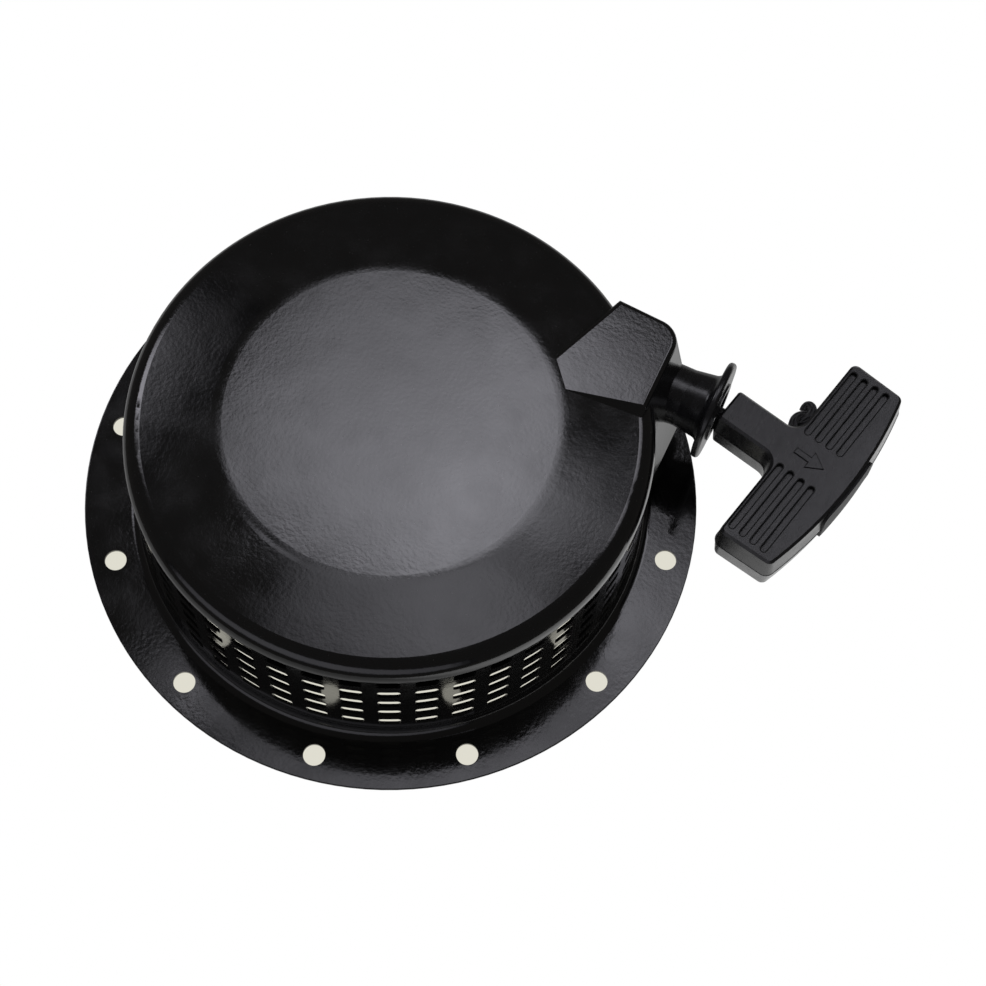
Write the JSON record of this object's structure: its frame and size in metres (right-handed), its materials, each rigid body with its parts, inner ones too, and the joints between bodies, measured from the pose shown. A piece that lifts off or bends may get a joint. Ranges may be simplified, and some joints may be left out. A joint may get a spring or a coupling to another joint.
{
  "type": "recoil starter",
  "caption": "Pull-rope recoil starter for a small engine: vented pressed-steel housing with a bolting flange, sprung rope reel, swing-out pawls and a T-shaped handle.",
  "frame": {"origin": "centre of the mounting flange's bolt circle, on the flange's underside", "axes": "+Z along the reel's axis towards the closed top of the housing; +X the way the rope leaves the rope guide"},
  "size_m": [0.3125, 0.26, 0.075],
  "materials": {
    "housing_paint": "gloss black enamel with a light orange peel",
    "black_plastic": "smooth moulded black plastic",
    "grip_plastic": "satin moulded black plastic",
    "grip_rubber": "matt black rubber",
    "reel_plastic": "glass-filled nylon",
    "zinc_steel": "zinc plated",
    "spring_steel": "blued spring steel",
    "hard_steel": "case-hardened, oiled",
    "rope_fibre": "braided polyester"
  },
  "bodies": {
    "housing": {"starter_housing": "housing_paint", "rope_guide": "black_plastic", "guide_retaining_ring": "spring_steel", "centre_post": "zinc_steel", "thrust_washer": "zinc_steel", "spacer_collar": "zinc_steel", "friction_washer": "zinc_steel", "lock_washer": "zinc_steel", "centre_bolt": "zinc_steel"},
    "reel": {"reel": "reel_plastic", "rope_coil": "rope_fibre", "rope_anchor_knot": "rope_fibre", "mainspring": "spring_steel", "spring_cover": "zinc_steel", "cover_screws": "zinc_steel", "pawl_pins": "hard_steel", "pawl_clips": "spring_steel"},
    "ratchet_guide": {"ratchet_guide": "zinc_steel", "friction_spring": "spring_steel"},
    "pawl_1": {"pawl_1": "hard_steel"},
    "pawl_2": {"pawl_2": "hard_steel"},
    "rope": {"rope_run": "rope_fibre"},
    "handle": {"handle_grip": "grip_plastic", "handle_cap": "grip_rubber", "handle_washer": "zinc_steel", "handle_knot": "rope_fibre", "rope_tail_knot": "rope_fibre"}
  },
  "joints": [
    {"name": "reel_spin", "type": "hinge", "parent": "housing", "child": "reel", "pos_m": [0, 0, 0.045], "axis": [0, 0, -1], "range_deg": [0, 720], "stiffness_Nm_per_rad": 0.08, "springref_deg": -538.58, "deforming": ["mainspring"]},
    {"name": "ratchet_turn", "type": "hinge", "parent": "reel", "child": "ratchet_guide", "pos_m": [0, 0, 0.025], "axis": [0, 0, 1], "range_deg": [0, 20]},
    {"name": "pawl_1_swing", "type": "hinge", "parent": "reel", "child": "pawl_1", "pos_m": [0.033, 0, 0.033], "axis": [0, 0, 1], "range_deg": [0, 25]},
    {"name": "pawl_2_swing", "type": "hinge", "parent": "reel", "child": "pawl_2", "pos_m": [-0.033, 0, 0.033], "axis": [0, 0, 1], "range_deg": [0, 25]},
    {"name": "handle_pull", "type": "slide", "parent": "housing", "child": "rope", "axis": [0.9728, -0.2317, 0], "range_m": [0, 0.9299], "deforming": ["rope_run"]},
    {"name": "handle_twist", "type": "hinge", "parent": "rope", "child": "handle", "pos_m": [0.1446, 0.0675, 0.045], "axis": [0.9728, -0.2317, 0], "range_deg": [-180, 180]}
  ],
  "couplings": [
    {"joint": "handle_pull", "follows": "reel_spin", "m_per_rad": 0.074},
    {"joint": "pawl_1_swing", "follows": "ratchet_turn", "ratio": 1.25},
    {"joint": "pawl_2_swing", "follows": "ratchet_turn", "ratio": 1.25}
  ]
}
